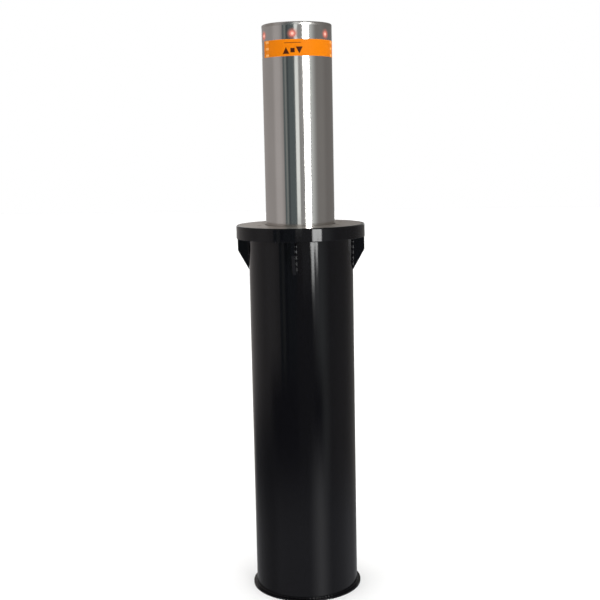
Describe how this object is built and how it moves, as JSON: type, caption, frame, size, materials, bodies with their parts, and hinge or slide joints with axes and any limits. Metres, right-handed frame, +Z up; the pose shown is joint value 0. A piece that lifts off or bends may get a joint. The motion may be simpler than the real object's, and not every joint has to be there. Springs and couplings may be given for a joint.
{
  "type": "retractable bollard",
  "caption": "Cylindrical stainless post with an orange band and red lamps that rises out of a round black casing set in the ground.",
  "frame": {"origin": "centre of the base plate's underside", "axes": "+Z up along the post, -Y towards the front gusset and the front lamp"},
  "size_m": [0.41, 0.41, 1.81],
  "materials": {
    "black_paint": "gloss black paint",
    "stainless": "satin stainless steel, drawn along the tube",
    "zinc_steel": "zinc-plated mild steel",
    "bolt_steel": "plain stainless fasteners",
    "hard_chrome": "ground hard chrome",
    "machined_aluminium": "machined",
    "barrel_steel": "semi-gloss grey paint",
    "sealing_rubber": "matt black",
    "bearing_polymer": "natural white acetal",
    "roller_polymer": "dark grey polyamide",
    "tape_orange": "orange reflective film with small pale yellow squares",
    "lamp_red": "clear red lens, lit",
    "lamp_plastic": "black",
    "board_green": "green circuit board",
    "motor_paint": "satin black",
    "magnet_dark": "dark sintered"
  },
  "bodies": {
    "casing": {"base_plate": "black_paint", "drain_socket": "black_paint", "casing_tube": "black_paint", "conduit_socket": "black_paint", "casing_flange": "black_paint", "gusset_front": "black_paint", "gusset_right": "black_paint", "gusset_back": "black_paint", "gusset_left": "black_paint", "cover_plate": "stainless", "cover_screws": "bolt_steel", "mounting_ring": "zinc_steel", "mounting_bolts": "bolt_steel", "guide_housing": "zinc_steel", "guide_sleeve": "bearing_polymer", "wiper_seal": "sealing_rubber", "top_buffer": "sealing_rubber", "guide_rails": "zinc_steel", "bearer_plate": "zinc_steel", "bearer_feet": "bolt_steel", "reed_sensors": "lamp_plastic", "piston_rod": "hard_chrome", "rod_nuts": "bolt_steel", "rod_foot_buffer": "sealing_rubber", "piston": "bolt_steel", "piston_seals": "sealing_rubber"},
    "post": {"cylinder_barrel": "barrel_steel", "cylinder_gland": "bolt_steel", "rod_seals": "sealing_rubber", "thrust_plate": "zinc_steel", "thrust_bolts": "bolt_steel", "valve_block": "machined_aluminium", "solenoid_valve": "lamp_plastic", "oil_tank": "motor_paint", "pump_body": "machined_aluminium", "pump_cover": "machined_aluminium", "motor_adaptor": "machined_aluminium", "motor_housing": "motor_paint", "motor_bearings": "bolt_steel", "motor_stator": "magnet_dark", "post_tube": "stainless", "reflective_tape": "tape_orange", "top_cap": "stainless", "cap_screws": "bolt_steel", "access_plug": "bolt_steel", "cap_ring": "zinc_steel", "lamp_board": "board_green", "lamp_lenses": "lamp_red", "lamp_holders": "lamp_plastic", "carriage": "zinc_steel", "roller_axles": "bolt_steel", "sensor_magnet": "magnet_dark"},
    "pump_rotor": {"motor_rotor": "bolt_steel", "pump_drive_gear": "bolt_steel"},
    "driven_gear": {"pump_driven_gear": "bolt_steel"},
    "release_stem": {"release_stem": "bolt_steel"},
    "guide_roller_1": {"guide_roller_1": "roller_polymer"},
    "guide_roller_2": {"guide_roller_2": "roller_polymer"},
    "guide_roller_3": {"guide_roller_3": "roller_polymer"},
    "guide_roller_4": {"guide_roller_4": "roller_polymer"}
  },
  "joints": [
    {"name": "post_slide", "type": "slide", "parent": "casing", "child": "post", "axis": [0, 0, 1], "range_m": [-0.61, 0]},
    {"name": "guide_roller_1_spin", "type": "hinge", "parent": "post", "child": "guide_roller_1", "pos_m": [0.09242, 0.09242, 1], "axis": [-0.7071, 0.7071, 0], "range_deg": [-2330.08, 0]},
    {"name": "guide_roller_2_spin", "type": "hinge", "parent": "post", "child": "guide_roller_2", "pos_m": [-0.09242, 0.09242, 1], "axis": [-0.7071, -0.7071, 0], "range_deg": [-2330.08, 0]},
    {"name": "guide_roller_3_spin", "type": "hinge", "parent": "post", "child": "guide_roller_3", "pos_m": [-0.09242, -0.09242, 1], "axis": [0.7071, -0.7071, 0], "range_deg": [-2330.08, 0]},
    {"name": "guide_roller_4_spin", "type": "hinge", "parent": "post", "child": "guide_roller_4", "pos_m": [0.09242, -0.09242, 1], "axis": [0.7071, 0.7071, 0], "range_deg": [-2330.08, 0]},
    {"name": "pump_rotor_spin", "type": "hinge", "parent": "post", "child": "pump_rotor", "pos_m": [0, 0, 1.6], "axis": [0, 0, 1], "continuous": true},
    {"name": "driven_gear_spin", "type": "hinge", "parent": "post", "child": "driven_gear", "pos_m": [0.024, 0, 1.57], "axis": [0, 0, 1], "continuous": true},
    {"name": "release_stem_turn", "type": "hinge", "parent": "post", "child": "release_stem", "pos_m": [0, 0.072, 1.65], "axis": [0, 0, 1], "range_deg": [0, 360]}
  ],
  "couplings": [
    {"joint": "guide_roller_1_spin", "follows": "post_slide", "rad_per_m": 66.667},
    {"joint": "guide_roller_2_spin", "follows": "post_slide", "rad_per_m": 66.667},
    {"joint": "guide_roller_3_spin", "follows": "post_slide", "rad_per_m": 66.667},
    {"joint": "guide_roller_4_spin", "follows": "post_slide", "rad_per_m": 66.667},
    {"joint": "driven_gear_spin", "follows": "pump_rotor_spin", "ratio": -1}
  ]
}
